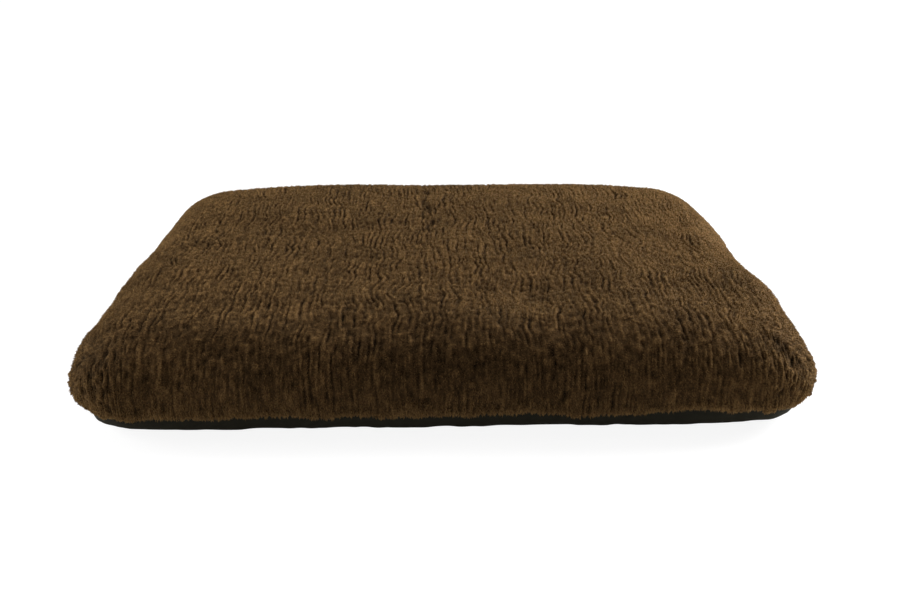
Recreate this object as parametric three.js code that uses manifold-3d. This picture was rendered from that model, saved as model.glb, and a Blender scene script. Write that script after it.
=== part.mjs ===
// Pet cushion bed: a zipped cover with a deep-pile fleece top and a woven base, round a removable
// fibre-filled pad.
// Units are millimetres. +Z is up, +X runs along the long side and the zip is on the +Y side.
// The origin is on the floor, under the middle of the cushion.

import * as THREE from 'three';
import { mergeVertices } from 'three/addons/utils/BufferGeometryUtils.js';
import Module from 'manifold-3d';

const wasm = await Module();
wasm.setup();

// ---------------------------------------------------------------- driving dimensions

// Whole cushion, over the pile
const LENGTH = 910;
const WIDTH = 680;
const HEIGHT = 140; // at the crown
const CROWN_RISE = 16; // middle of the top above its rounded shoulder
const CROWN_MIDDLE = 0.08; // level middle of the crown, as a share of its reach
const CORNER_RADIUS = 92; // seen from above, at the widest line
const CORNER_TIGHTENING = 0.6; // how fast that radius shrinks on the way in
const LEAST_CORNER_RADIUS = 20;
const SHOULDER_REACH = 92; // from the widest line in to where the top levels out
const SHOULDER_FULLNESS = 2.35; // exponent of the rounded side, 2 for an ellipse
const WIDEST_HEIGHT = 46;

// Cover
const FLEECE_THICKNESS = 16; // knitted backing and pile
const SEAM_HEIGHT = 37; // where the fleece meets the base
const LIP_TUCK = 2; // how far the fleece turns in from the widest line to the seam
const BASE_THICKNESS = 1.2;
const SEAM_ALLOWANCE = 9; // base fabric that stands up behind the fleece
const FLOOR_ROUND_REACH = 56; // rounded bottom edge of the base, inwards
const FLOOR_ROUND_HEIGHT = 14; // and upwards
const FLOOR_FULLNESS = 1.7; // flatter than an ellipse, as a slack cloth is

// Inner pad
const PAD_SIDE_EASE = 4.6; // slack between the fleece and the pad at the sides
const PAD_TOP_EASE = 1; // and over and under it
const PAD_FLOOR_REACH = 62;
const PAD_FLOOR_FULLNESS = 2.8;
const CASE_THICKNESS = 0.8;

// Zip
const ZIP_LENGTH = 620; // from the outer end of one stop to that of the other
const ZIP_HEIGHT = 27; // middle of the chain above the floor
const TAPE_WIDTH = 12;
const TAPE_THICKNESS = 0.6;
const TAPE_OVERRUN = 12; // tape past each end of the chain
const COIL_WIDTH = 2.3;
const COIL_THICKNESS = 2;
const COIL_BEVEL = 0.6;
const COIL_SPACING = 1.4; // between the two rows, where the slider's neck passes
const STOP_LENGTH = 3;
const STOP_MARGIN = 0.7; // how much a stop is wider and thicker than the coil
const END_TAB_WIDTH = 6.4;
const WINDOW_OVERRUN = 10; // zip opening in the base wall, past each end of the chain

// Slider and pull
const SLIDER_LENGTH = 12;
const SLIDER_TAIL_WIDTH = 7.8;
const SLIDER_PLATE = 1.2;
const SLIDER_WALL = 0.9; // side flanges of the slider
const SLIDER_ROUND = 1.4; // corners of its outline
const NECK_LENGTH = 3;
const NECK_THICKNESS = 0.8;
const BRIDGE_SPAN = 7.6;
const BRIDGE_WIDTH = 2;
const BRIDGE_THICKNESS = 0.9;
const PULL_BAR = 1.2; // thickness of the pull and of the bar under the bridge
const PULL_ARM = 1.1;
const PULL_EYE = 6.4; // from the bar to the solid part of the pull
const PULL_LENGTH = 27; // from the bar to the rounded end
const PULL_WIDTH = 7;
const PULL_TIP_RADIUS = 3.1;
const PULL_HOLE_RADIUS = 1.7;
const PULL_HOLE_FROM_END = 3.4;

// Care label
const LABEL_WIDTH = 24;
const LABEL_DROP = 28;
const LABEL_THICKNESS = 0.6;
const LABEL_FROM_ZIP = 12; // between the end of the zip opening and the label

// Clearances
const GAP = 0.4; // between sewn or assembled pieces
const RUN = 0.35; // round the slider and the pull, where they move
const CUT_PAST = 2; // how far a cutting block runs past the faces that it cuts

// Smoothness of the lofted fabric
const CORNER_STEPS = 7;
const SHOULDER_STEPS = 8;
const FLOOR_STEPS = 5;
const CROWN_STEPS = 5;
const LIP_STEPS = 3;
const CURVE_SEGMENTS = 6;
const FLOOR_MIDDLE = 0.5; // size of the ring in the middle of the floor

// ---------------------------------------------------------------- worked out from them

const SHOULDER_TOP = HEIGHT - CROWN_RISE;
const WALL_INSET = FLEECE_THICKNESS + GAP; // outer face of the base wall, in from the widest line
const PAD_INSET = FLEECE_THICKNESS + PAD_SIDE_EASE;
const PAD_BOTTOM = BASE_THICKNESS + PAD_TOP_EASE;
const ZIP_FACE = WIDTH / 2 - WALL_INSET - BASE_THICKNESS - GAP; // outer face of the tapes
const COIL_BACK = ZIP_FACE + RUN;
const COIL_FACE = COIL_BACK + COIL_THICKNESS;
const ROW_START = COIL_SPACING / 2;
const ROW_END = ROW_START + COIL_WIDTH;
const SLIDER_WIDTH = 2 * (ROW_END + RUN + SLIDER_WALL);
const SLIDER_FACE = COIL_FACE + RUN + SLIDER_PLATE;
const SLIDER_BACK = ZIP_FACE - TAPE_THICKNESS - RUN - SLIDER_PLATE;
const WINDOW_BOTTOM = ZIP_HEIGHT - SLIDER_WIDTH / 2 - 2 * RUN;
const WINDOW_HALF = ZIP_LENGTH / 2 + WINDOW_OVERRUN;
const SLIDER_REST = ZIP_LENGTH / 2 - STOP_LENGTH - RUN - SLIDER_LENGTH / 2;
const BRIDGE_CLEAR = PULL_BAR + 2 * RUN; // under the bridge
const PULL_AXIS = SLIDER_FACE + RUN + PULL_BAR / 2;

// ---------------------------------------------------------------- lofted fabric

// Points of a rounded rectangle, seen from above, anticlockwise. It is inset from the widest line,
// then scaled.
function planRing({ inset, z, scale = 1 }) {
  const halfLength = (LENGTH / 2 - inset) * scale;
  const halfWidth = (WIDTH / 2 - inset) * scale;
  const radius = Math.max(CORNER_RADIUS - CORNER_TIGHTENING * inset, LEAST_CORNER_RADIUS) * scale;
  const points = [];
  [[1, 1], [-1, 1], [-1, -1], [1, -1]].forEach(([sideX, sideY], quarter) => {
    for (let i = 0; i <= CORNER_STEPS; i++) {
      const angle = (quarter + i / CORNER_STEPS) * Math.PI / 2;
      const x = sideX * (halfLength - radius) + radius * Math.cos(angle);
      const y = sideY * (halfWidth - radius) + radius * Math.sin(angle);
      points.push(new THREE.Vector3(x, y, z));
    }
  });
  return points;
}

// A closed skin through a list of rings, from a point inside the first ring to one inside the last.
// The rings run so that the skin faces out: from the outside top downwards.
function loft(rings) {
  const rows = rings.map(planRing);
  const count = rows[0].length;
  const vertices = [];
  const index = [];
  rows.forEach((row) => row.forEach((p) => vertices.push(p.x, p.y, p.z)));
  for (let r = 0; r < rows.length - 1; r++) {
    for (let i = 0; i < count; i++) {
      const a = r * count + i;
      const b = r * count + (i + 1) % count;
      index.push(a, a + count, b, b, a + count, b + count);
    }
  }
  const first = rows.length * count;
  const last = first + 1;
  vertices.push(0, 0, rings[0].z, 0, 0, rings[rings.length - 1].z);
  for (let i = 0; i < count; i++) {
    const j = (i + 1) % count;
    const end = (rows.length - 1) * count;
    index.push(first, i, j, last, end + j, end + i);
  }
  const geometry = new THREE.BufferGeometry();
  geometry.setAttribute('position', new THREE.Float32BufferAttribute(vertices, 3));
  geometry.setIndex(index);
  return geometry;
}

// Quarter of a rounded outline in the side view, from share 0 (level, furthest in) to share 1 (upright).
// The corner is at (inset, z) of the far ends: reach is how far it goes in, and rise how far it
// goes up or down.
function quarter(outerInset, uprightZ, reach, rise, fullness, steps) {
  const points = [];
  for (let i = 0; i <= steps; i++) {
    const angle = (1 - i / steps) * Math.PI / 2;
    const across = Math.max(Math.cos(angle), 0) ** (2 / fullness);
    const along = Math.sin(angle) ** (2 / fullness);
    points.push({ inset: outerInset + reach * (1 - across), z: uprightZ + rise * along });
  }
  return points;
}

// Crown of the top, from near its middle out to the shoulder, under a given depth of fabric.
function crown(inset, depth) {
  const points = [];
  for (let i = 0; i < CROWN_STEPS; i++) {
    const share = i / CROWN_STEPS;
    const rise = CROWN_RISE * (1 + Math.cos(Math.PI * share)) / 2;
    const scale = CROWN_MIDDLE + (1 - CROWN_MIDDLE) * share;
    points.push({ inset, scale, z: SHOULDER_TOP + rise - depth });
  }
  return points;
}

// Top and rounded side down to the widest line, at a depth under the pile and a distance in from the side.
function domeProfile(sideDepth, topDepth) {
  const reach = SHOULDER_REACH - sideDepth;
  const rise = SHOULDER_TOP - topDepth - WIDEST_HEIGHT;
  const side = quarter(sideDepth, WIDEST_HEIGHT, reach, rise, SHOULDER_FULLNESS, SHOULDER_STEPS);
  return [...crown(SHOULDER_REACH, topDepth), ...side];
}

// Upright side, rounded bottom edge and flat floor, from the middle of the floor outwards.
function trayProfile(sideInset, floorZ, reach, rise, fullness, topZ) {
  const edge = quarter(sideInset, floorZ + rise, reach, -rise, fullness, FLOOR_STEPS);
  const floor = { inset: sideInset + reach, z: floorZ, scale: FLOOR_MIDDLE };
  const rim = topZ > floorZ + rise ? [{ inset: sideInset, z: topZ }] : [];
  return [floor, ...edge, ...rim];
}

function fleeceCover() {
  const outside = domeProfile(0, 0);
  const lip = [];
  for (let i = 1; i <= LIP_STEPS; i++) {
    const share = i / LIP_STEPS;
    const z = WIDEST_HEIGHT + (SEAM_HEIGHT - WIDEST_HEIGHT) * share;
    lip.push({ inset: LIP_TUCK * share * share, z });
  }
  const inside = domeProfile(FLEECE_THICKNESS, FLEECE_THICKNESS).reverse();
  return loft([...outside, ...lip, { inset: FLEECE_THICKNESS, z: SEAM_HEIGHT }, ...inside]);
}

function basePanel() {
  const top = SEAM_HEIGHT + SEAM_ALLOWANCE;
  const outside = trayProfile(WALL_INSET, 0, FLOOR_ROUND_REACH, FLOOR_ROUND_HEIGHT, FLOOR_FULLNESS, top);
  const inside = trayProfile(
    WALL_INSET + BASE_THICKNESS,
    BASE_THICKNESS,
    FLOOR_ROUND_REACH - BASE_THICKNESS,
    FLOOR_ROUND_HEIGHT - BASE_THICKNESS,
    FLOOR_FULLNESS,
    top,
  );
  const tray = loft([...inside, ...outside.reverse()]);
  const wallFace = WIDTH / 2 - WALL_INSET;
  const depth = [wallFace - BASE_THICKNESS - CUT_PAST, wallFace + CUT_PAST];
  return cut(tray, block([-WINDOW_HALF, WINDOW_HALF], depth, [WINDOW_BOTTOM, top + CUT_PAST]));
}

function padDome(depth) {
  return domeProfile(PAD_INSET + depth, FLEECE_THICKNESS + PAD_TOP_EASE + depth);
}

function padTray(depth) {
  const low = PAD_BOTTOM + depth;
  const rise = WIDEST_HEIGHT - GAP - low;
  return trayProfile(PAD_INSET + depth, low, PAD_FLOOR_REACH - depth, rise, PAD_FLOOR_FULLNESS, 0);
}

function caseTop() {
  return loft([...padDome(0), ...padDome(CASE_THICKNESS).reverse()]);
}

function caseBase() {
  return loft([...padTray(CASE_THICKNESS), ...padTray(0).reverse()]);
}

function fibreFill() {
  const depth = CASE_THICKNESS + GAP;
  return loft([...padDome(depth), ...padTray(depth).reverse()]);
}

// ---------------------------------------------------------------- solids joined and cut

function toSolid(geometry) {
  const bare = geometry.clone();
  bare.deleteAttribute('normal');
  bare.deleteAttribute('uv');
  const merged = mergeVertices(bare, 1e-4);
  const vertProperties = merged.attributes.position.array;
  const triVerts = new Uint32Array(merged.index.array);
  return new wasm.Manifold(new wasm.Mesh({ numProp: 3, vertProperties, triVerts }));
}

function toGeometry(solid) {
  const mesh = solid.getMesh();
  const geometry = new THREE.BufferGeometry();
  geometry.setAttribute('position', new THREE.BufferAttribute(new Float32Array(mesh.vertProperties), 3));
  geometry.setIndex(new THREE.BufferAttribute(new Uint32Array(mesh.triVerts), 1));
  return geometry;
}

function join(...geometries) {
  return toGeometry(geometries.map(toSolid).reduce((whole, piece) => whole.add(piece)));
}

function cut(geometry, ...tools) {
  return toGeometry(tools.map(toSolid).reduce((whole, tool) => whole.subtract(tool), toSolid(geometry)));
}

function overlap(geometry, other) {
  return toGeometry(toSolid(geometry).intersect(toSolid(other)));
}

// A box between two corners, given as [low, high] along each axis.
function block([x0, x1], [y0, y1], [z0, z1]) {
  const geometry = new THREE.BoxGeometry(x1 - x0, y1 - y0, z1 - z0);
  return geometry.translate((x0 + x1) / 2, (y0 + y1) / 2, (z0 + z1) / 2);
}

// A flat plate of a shape drawn in x and z, between two depths in y.
function plate(shape, y0, y1) {
  const options = { depth: y1 - y0, bevelEnabled: false, curveSegments: CURVE_SEGMENTS };
  const geometry = new THREE.ExtrudeGeometry(shape, options);
  return geometry.rotateX(Math.PI / 2).translate(0, y1, 0);
}

function roundedRectangle(x0, x1, z0, z1, radius) {
  const shape = new THREE.Shape();
  shape.moveTo(x0 + radius, z0);
  shape.lineTo(x1 - radius, z0);
  shape.absarc(x1 - radius, z0 + radius, radius, -Math.PI / 2, 0);
  shape.lineTo(x1, z1 - radius);
  shape.absarc(x1 - radius, z1 - radius, radius, 0, Math.PI / 2);
  shape.lineTo(x0 + radius, z1);
  shape.absarc(x0 + radius, z1 - radius, radius, Math.PI / 2, Math.PI);
  shape.lineTo(x0, z0 + radius);
  shape.absarc(x0 + radius, z0 + radius, radius, Math.PI, 1.5 * Math.PI);
  return shape;
}

// ---------------------------------------------------------------- zip, about its own middle line

// side is 1 for the upper row and -1 for the lower one.
function span(side, near, far) {
  return side > 0 ? [near, far] : [-far, -near];
}

function zipTape(side) {
  const half = ZIP_LENGTH / 2 + TAPE_OVERRUN;
  const height = span(side, ROW_START, ROW_START + TAPE_WIDTH);
  return block([-half, half], [ZIP_FACE - TAPE_THICKNESS, ZIP_FACE], height);
}

function zipCoil(side) {
  const half = ZIP_LENGTH / 2 - STOP_LENGTH - GAP;
  const [z0, z1] = span(side, ROW_START, ROW_END);
  const section = new THREE.Shape();
  section.moveTo(0, z0);
  section.lineTo(COIL_THICKNESS - COIL_BEVEL, z0);
  section.lineTo(COIL_THICKNESS, z0 + COIL_BEVEL);
  section.lineTo(COIL_THICKNESS, z1 - COIL_BEVEL);
  section.lineTo(COIL_THICKNESS - COIL_BEVEL, z1);
  section.lineTo(0, z1);
  const bar = new THREE.ExtrudeGeometry(section, { depth: 2 * half, bevelEnabled: false });
  // The section is drawn with x outwards and y up, and runs along the zip.
  const turn = new THREE.Matrix4().makeBasis(
    new THREE.Vector3(0, 1, 0),
    new THREE.Vector3(0, 0, 1),
    new THREE.Vector3(1, 0, 0),
  );
  return bar.applyMatrix4(turn).translate(-half, COIL_BACK, 0);
}

function topStop(side) {
  const end = ZIP_LENGTH / 2;
  const depth = [COIL_BACK, COIL_FACE + STOP_MARGIN];
  return block([end - STOP_LENGTH, end], depth, span(side, ROW_START, ROW_END + STOP_MARGIN));
}

function bottomStop() {
  const end = -ZIP_LENGTH / 2;
  const reach = ROW_END + STOP_MARGIN;
  return block([end, end + STOP_LENGTH], [COIL_BACK, COIL_FACE + STOP_MARGIN], [-reach, reach]);
}

// A patch of base fabric that closes one end of the zip opening, against the end of its window.
function endTab(side) {
  const outer = WINDOW_HALF - GAP;
  const x = side > 0 ? [outer - END_TAB_WIDTH, outer] : [-outer, END_TAB_WIDTH - outer];
  const z = [WINDOW_BOTTOM - ZIP_HEIGHT + GAP, SEAM_HEIGHT - ZIP_HEIGHT - GAP];
  return block(x, [ZIP_FACE + GAP, ZIP_FACE + GAP + BASE_THICKNESS], z);
}

// Two plates with side flanges round the chain, joined by a neck at the leading end. The outline is
// a shield.
function sliderBody() {
  const half = SLIDER_LENGTH / 2;
  const wide = SLIDER_WIDTH / 2;
  const tail = SLIDER_TAIL_WIDTH / 2;
  const round = SLIDER_ROUND;
  const shield = new THREE.Shape();
  shield.moveTo(half, -(wide - round));
  shield.lineTo(half, wide - round);
  shield.quadraticCurveTo(half, wide, half - round, wide);
  shield.lineTo(0, wide);
  shield.quadraticCurveTo(-half, wide, -half, tail - round);
  shield.lineTo(-half, round - tail);
  shield.quadraticCurveTo(-half, -wide, 0, -wide);
  shield.lineTo(half - round, -wide);
  shield.quadraticCurveTo(half, -wide, half, -(wide - round));
  const outline = plate(shield, SLIDER_BACK, SLIDER_FACE);

  const along = [-half, half];
  const inner = ROW_END + RUN;
  const faceIn = COIL_FACE + RUN;
  const backIn = ZIP_FACE - TAPE_THICKNESS - RUN;
  const outerPlate = block(along, [faceIn, SLIDER_FACE], [-wide, wide]);
  const innerPlate = block(along, [SLIDER_BACK, backIn], [-wide, wide]);
  const flanges = [-1, 1].map((side) => block(along, [COIL_BACK, SLIDER_FACE], span(side, inner, wide)));
  const neckHalf = NECK_THICKNESS / 2;
  const neck = block([half - NECK_LENGTH, half], [SLIDER_BACK, SLIDER_FACE], [-neckHalf, neckHalf]);
  return overlap(join(outerPlate, innerPlate, ...flanges, neck), outline);
}

// Arch over the outer plate that holds the bar of the pull.
function sliderBridge() {
  const half = BRIDGE_SPAN / 2;
  const inner = half - BRIDGE_THICKNESS;
  const foot = SLIDER_FACE + GAP;
  const wide = [-BRIDGE_WIDTH / 2, BRIDGE_WIDTH / 2];
  const underside = SLIDER_FACE + BRIDGE_CLEAR;
  const top = block([-half, half], [underside, underside + BRIDGE_THICKNESS], wide);
  const legs = [span(1, inner, half), span(-1, inner, half)].map((x) => block(x, [foot, underside], wide));
  return join(top, ...legs);
}

// The pull points towards -X from its bar, which lies along z under the bridge.
function zipPull() {
  const half = PULL_WIDTH / 2;
  const depth = [PULL_AXIS - PULL_BAR / 2, PULL_AXIS + PULL_BAR / 2];
  const outline = roundedRectangle(-PULL_LENGTH, PULL_BAR / 2, -half, half, PULL_BAR / 2);
  const tip = roundedRectangle(-PULL_LENGTH, -PULL_EYE, -half, half, PULL_TIP_RADIUS);
  const arms = block([-PULL_EYE - half, PULL_BAR / 2], depth, [-half, half]);
  const through = [depth[0] - CUT_PAST, depth[1] + CUT_PAST];
  const eye = block([-PULL_EYE, -PULL_BAR / 2], through, [PULL_ARM - half, half - PULL_ARM]);
  const hole = new THREE.CylinderGeometry(PULL_HOLE_RADIUS, PULL_HOLE_RADIUS, PULL_BAR + 2 * CUT_PAST, 16);
  hole.translate(PULL_HOLE_FROM_END - PULL_LENGTH, PULL_AXIS, 0);
  const blank = join(overlap(plate(tip, ...depth), plate(outline, ...depth)), arms);
  return cut(blank, eye, hole);
}

// ---------------------------------------------------------------- care label

function careLabel() {
  const x = -WINDOW_HALF - LABEL_FROM_ZIP;
  const wallFace = WIDTH / 2 - WALL_INSET;
  const y = [wallFace + GAP, wallFace + GAP + LABEL_THICKNESS];
  const top = SEAM_HEIGHT - GAP;
  return block([x - LABEL_WIDTH, x], y, [top - LABEL_DROP, top]);
}

// ---------------------------------------------------------------- assembly

const finishes = {
  fleece: new THREE.MeshStandardMaterial({ color: 0x5a4229, roughness: 0.95, metalness: 0 }),
  baseFabric: new THREE.MeshStandardMaterial({ color: 0x1f2018, roughness: 0.8, metalness: 0 }),
  tape: new THREE.MeshStandardMaterial({ color: 0x191a16, roughness: 0.85, metalness: 0 }),
  coil: new THREE.MeshStandardMaterial({ color: 0x141411, roughness: 0.4, metalness: 0 }),
  metal: new THREE.MeshStandardMaterial({ color: 0x4a4a48, roughness: 0.35, metalness: 1 }),
  ticking: new THREE.MeshStandardMaterial({ color: 0xd8d4c8, roughness: 0.9, metalness: 0 }),
  fibre: new THREE.MeshStandardMaterial({ color: 0xf2f1ec, roughness: 1, metalness: 0 }),
  label: new THREE.MeshStandardMaterial({ color: 0xe6e4de, roughness: 0.7, metalness: 0 }),
};

function piece(name, geometry, finish) {
  const mesh = new THREE.Mesh(geometry, finishes[finish]);
  mesh.name = name;
  return mesh;
}

const cushion = new THREE.Group();
cushion.add(
  piece('fleece_cover', fleeceCover(), 'fleece'),
  piece('base_panel', basePanel(), 'baseFabric'),
  piece('inner_case_top', caseTop(), 'ticking'),
  piece('inner_case_base', caseBase(), 'ticking'),
  piece('fibre_fill', fibreFill(), 'fibre'),
  piece('care_label', careLabel(), 'label'),
);

const zip = new THREE.Group();
zip.position.z = ZIP_HEIGHT;
zip.add(
  piece('zip_tape_upper', zipTape(1), 'tape'),
  piece('zip_tape_lower', zipTape(-1), 'tape'),
  piece('zip_coil_upper', zipCoil(1), 'coil'),
  piece('zip_coil_lower', zipCoil(-1), 'coil'),
  piece('zip_bottom_stop', bottomStop(), 'metal'),
  piece('zip_top_stop_upper', topStop(1), 'metal'),
  piece('zip_top_stop_lower', topStop(-1), 'metal'),
  piece('zip_end_tab_left', endTab(-1), 'baseFabric'),
  piece('zip_end_tab_right', endTab(1), 'baseFabric'),
);

// The slider is at the closed end of its travel.
const slider = new THREE.Group();
slider.position.x = SLIDER_REST;
slider.add(
  piece('zip_slider_body', sliderBody(), 'metal'),
  piece('zip_slider_bridge', sliderBridge(), 'metal'),
  piece('zip_pull', zipPull(), 'metal'),
);

zip.add(slider);
cushion.add(zip);

export default cushion;
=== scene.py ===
"""Looks of a pet cushion bed: a zipped cover with a fleece top and a dark woven base, round a soft pad."""

import math

import bpy
import numpy as np
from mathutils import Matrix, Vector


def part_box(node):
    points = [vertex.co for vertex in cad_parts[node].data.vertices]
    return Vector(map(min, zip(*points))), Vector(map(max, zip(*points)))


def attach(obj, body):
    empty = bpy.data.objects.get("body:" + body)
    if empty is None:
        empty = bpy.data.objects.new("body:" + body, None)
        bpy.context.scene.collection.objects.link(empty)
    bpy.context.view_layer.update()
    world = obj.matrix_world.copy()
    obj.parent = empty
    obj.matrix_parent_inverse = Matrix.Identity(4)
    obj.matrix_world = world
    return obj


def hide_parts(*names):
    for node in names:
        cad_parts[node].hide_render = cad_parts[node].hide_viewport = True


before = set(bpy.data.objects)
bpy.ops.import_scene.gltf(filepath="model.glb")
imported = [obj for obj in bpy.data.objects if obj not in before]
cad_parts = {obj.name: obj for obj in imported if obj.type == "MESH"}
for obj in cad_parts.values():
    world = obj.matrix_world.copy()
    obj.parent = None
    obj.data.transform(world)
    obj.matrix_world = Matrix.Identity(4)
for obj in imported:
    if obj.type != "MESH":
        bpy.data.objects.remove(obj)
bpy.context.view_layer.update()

# ---------------- camera and studio
# A standard wide lens at sitting height in front of the bed, turned a touch to the right. The bed lies on a
# plain white floor under one broad, soft light from above and a little behind, with a low light at each end.

LENS = 35
CAMERA_PLACE = (-0.0165, -1.1974, 0.5739)
CAMERA_TILT = math.radians(24.45)
CAMERA_TURN = math.radians(1.30)
FLOOR_HALF = 12
FLOOR_GLOW = 0.72  # share of the floor's own white that the camera sees
FLOOR_WHITE = 1.25
FLOOR_CLEAR = 0.0003  # below the base, so that the two faces are not in one plane
ROOM_LIGHT = 0.14
BACKDROP_WHITE = 1.3

scene = bpy.context.scene
scene.view_settings.view_transform = "Standard"

bpy.ops.object.select_all(action="DESELECT")
bpy.ops.object.camera_add(location=CAMERA_PLACE, rotation=(math.pi / 2 - CAMERA_TILT, 0, -CAMERA_TURN))
camera = bpy.context.object
camera.data.lens = LENS
scene.camera = camera


def plain_material(name, colour, roughness):
    """A material of the given colour, with the node tree's Principled shader."""
    material = bpy.data.materials.new(name)
    material.use_nodes = True
    shader = material.node_tree.nodes["Principled BSDF"]
    shader.inputs["Base Color"].default_value = (*colour, 1)
    shader.inputs["Roughness"].default_value = roughness
    return material, shader


def add_node(tree, kind, **values):
    """A shader node with some of its own settings made, and the values of its sockets by name."""
    node = tree.nodes.new(kind)
    for key, value in values.items():
        if hasattr(node, key):
            setattr(node, key, value)
        else:
            node.inputs[key.replace("_", " ")].default_value = value
    return node


def join(tree, *ends):
    """Links nodes, given in fours: a node, its output, the next node and its input."""
    for source, output, target, entry in zip(ends[::4], ends[1::4], ends[2::4], ends[3::4]):
        tree.links.new(source.outputs[output], target.inputs[entry])


# The camera sees the floor as nearly white. The light that the floor throws back is that of plain paint.
floor_paint, floor_shader = plain_material("floor_paint", (0.80, 0.80, 0.80), 0.9)
tree = floor_paint.node_tree
glow = add_node(tree, "ShaderNodeEmission", Strength=FLOOR_WHITE)
seen = add_node(tree, "ShaderNodeLightPath")
share = add_node(tree, "ShaderNodeMath", operation="MULTIPLY")
share.inputs[1].default_value = FLOOR_GLOW
mix = add_node(tree, "ShaderNodeMixShader")
join(tree, seen, "Is Camera Ray", share, 0, share, "Value", mix, "Fac", floor_shader, "BSDF", mix, 1,
     glow, "Emission", mix, 2, mix, "Shader", tree.nodes["Material Output"], "Surface")

bpy.ops.mesh.primitive_plane_add(size=2 * FLOOR_HALF, location=(0, 0, -FLOOR_CLEAR))
floor = bpy.context.object
floor.name = "floor"
floor.data.materials.append(floor_paint)


def soft_light(name, place, aim, size, power):
    """A square studio light at a place, turned towards a point."""
    bpy.ops.object.light_add(type="AREA", location=place)
    light = bpy.context.object
    light.name = name
    light.data.size = size
    light.data.energy = power
    towards = np.subtract(aim, place)
    across = math.atan2(-towards[0], towards[1])
    light.rotation_euler = (math.atan2(math.hypot(*towards[:2]), -towards[2]), 0, across)


def broad_light(name, back, right, strength, softness):
    """Light from far away, coming from behind and from the right by these angles off the upright."""
    bpy.ops.object.light_add(type="SUN", rotation=(math.radians(-back), math.radians(right), 0))
    light = bpy.context.object
    light.name = name
    light.data.energy = strength
    light.data.angle = math.radians(softness)


broad_light("main_light", back=40, right=24, strength=2.35, softness=60)
soft_light("left_light", place=(-1.9, -0.10, 0.75), aim=(-0.4, -0.10, 0.08), size=1.0, power=27)
soft_light("right_light", place=(2.0, 0.40, 0.95), aim=(0.30, 0.05, 0.10), size=1.0, power=64)

world = bpy.data.worlds.new("studio")
world.use_nodes = True
tree = world.node_tree
dim = tree.nodes["Background"]
dim.inputs["Color"].default_value = (1, 1, 1, 1)
dim.inputs["Strength"].default_value = ROOM_LIGHT
white = add_node(tree, "ShaderNodeBackground", Strength=BACKDROP_WHITE)
seen = add_node(tree, "ShaderNodeLightPath")
mix = add_node(tree, "ShaderNodeMixShader")
join(tree, seen, "Is Camera Ray", mix, "Fac", dim, "Background", mix, 1, white, "Background", mix, 2,
     mix, "Shader", tree.nodes["World Output"], "Surface")
scene.world = world

# ---------------- fibre filling
# Loose crimped polyester fibre, blown into the inner case until it is plump. It has no skin of its own: it
# sits as soft lumps. Like every layer of the bed it is a block with rounded corners, round one straight-
# sided core.

CORNER = 0.092
CROWN = 0.016
DOME_POWER = 2.4
SIDE_PULL = 0.0015
CORNER_DROP = 0.015
SHOULDER_FULLNESS = 2.2
WIDEST_HEIGHT = 0.046

cover_low, cover_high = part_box("fleece_cover")
core = ((cover_high[0] - cover_low[0]) / 2 - CORNER, (cover_high[1] - cover_low[1]) / 2 - CORNER)


def laid_cloth(across, along, bend):
    """Points of a panel laid over the block, as an array [line across, line along, xyz].

    across and along are the cloth's lines, measured from its middle. Over the core they run straight. Past
    it, bend gives how far out and how high the cloth is at each length of cloth, and the lines fan round the
    corners.
    """
    s, t = np.meshgrid(across, along, indexing="ij")
    past_s = np.maximum(np.abs(s) - core[0], 0)
    past_t = np.maximum(np.abs(t) - core[1], 0)
    longer = np.maximum(past_s, past_t)
    share = np.minimum(past_s, past_t) / np.maximum(longer, 1e-9)
    angle = np.where(past_s >= past_t, share, 2 - share) * math.pi / 4
    angle = np.where(longer > 0, angle, 0)
    out, height = bend(longer)
    x = np.sign(s) * (np.minimum(np.abs(s), core[0]) + out * np.cos(angle))
    y = np.sign(t) * (np.minimum(np.abs(t), core[1]) + out * np.sin(angle))
    return np.stack([x, y, height], axis=-1)


def along_bend(outs, heights):
    """A bend for laid_cloth, through a line of points, and its whole length of cloth."""
    steps = np.hypot(np.diff(outs), np.diff(heights))
    lengths = np.concatenate([[0], np.cumsum(steps)])
    return (lambda past: (np.interp(past, lengths, outs), np.interp(past, lengths, heights))), lengths[-1]


def quarter_round(reach, start, end, fullness, count=200):
    """A rounded edge from the level part out to its widest line, as distances out and heights."""
    turn = np.linspace(math.pi / 2, 0, count)
    outs = reach * np.clip(np.cos(turn), 0, 1) ** (2 / fullness)
    heights = end + (start - end) * np.sin(turn) ** (2 / fullness)
    return outs, heights


def unit(vectors):
    """The vectors, each made one long."""
    return vectors / np.maximum(np.linalg.norm(vectors, axis=-1, keepdims=True), 1e-12)


def outward(points):
    """Unit normals of a laid panel, pointing to the side that is up in its middle."""
    return unit(np.cross(np.gradient(points, axis=0), np.gradient(points, axis=1)))


def soft_noise(shape, spacing, wave, seed):
    """Smooth random hills of about the given wavelengths across and along a panel, with a spread of 1."""
    kx = np.fft.fftfreq(shape[0], spacing)[:, None]
    ky = np.fft.fftfreq(shape[1], spacing)[None, :]
    keep = np.exp(-0.5 * ((kx * wave[0]) ** 2 + (ky * wave[1]) ** 2) * 4)
    field = np.fft.ifft2(np.fft.fft2(np.random.default_rng(seed).standard_normal(shape)) * keep).real
    return (field - field.mean()) / field.std()


def ease(low, high, values):
    """Goes smoothly from 0 at low to 1 at high."""
    share = np.clip((values - low) / (high - low), 0, 1)
    return share * share * (3 - 2 * share)


def dome(points):
    """How far the crown lifts each point, as a share: 1 in the middle and 0 at the sides."""
    x, y = points[..., 0] / (core[0] + CORNER), points[..., 1] / (core[1] + CORNER)
    return (1 - np.abs(x) ** DOME_POWER).clip(0) * (1 - np.abs(y) ** DOME_POWER).clip(0)


def crowned(points):
    """Lifts the top towards its middle, in a low dome."""
    lifted = points.copy()
    lifted[..., 2] += CROWN * dome(points)
    return lifted


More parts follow.
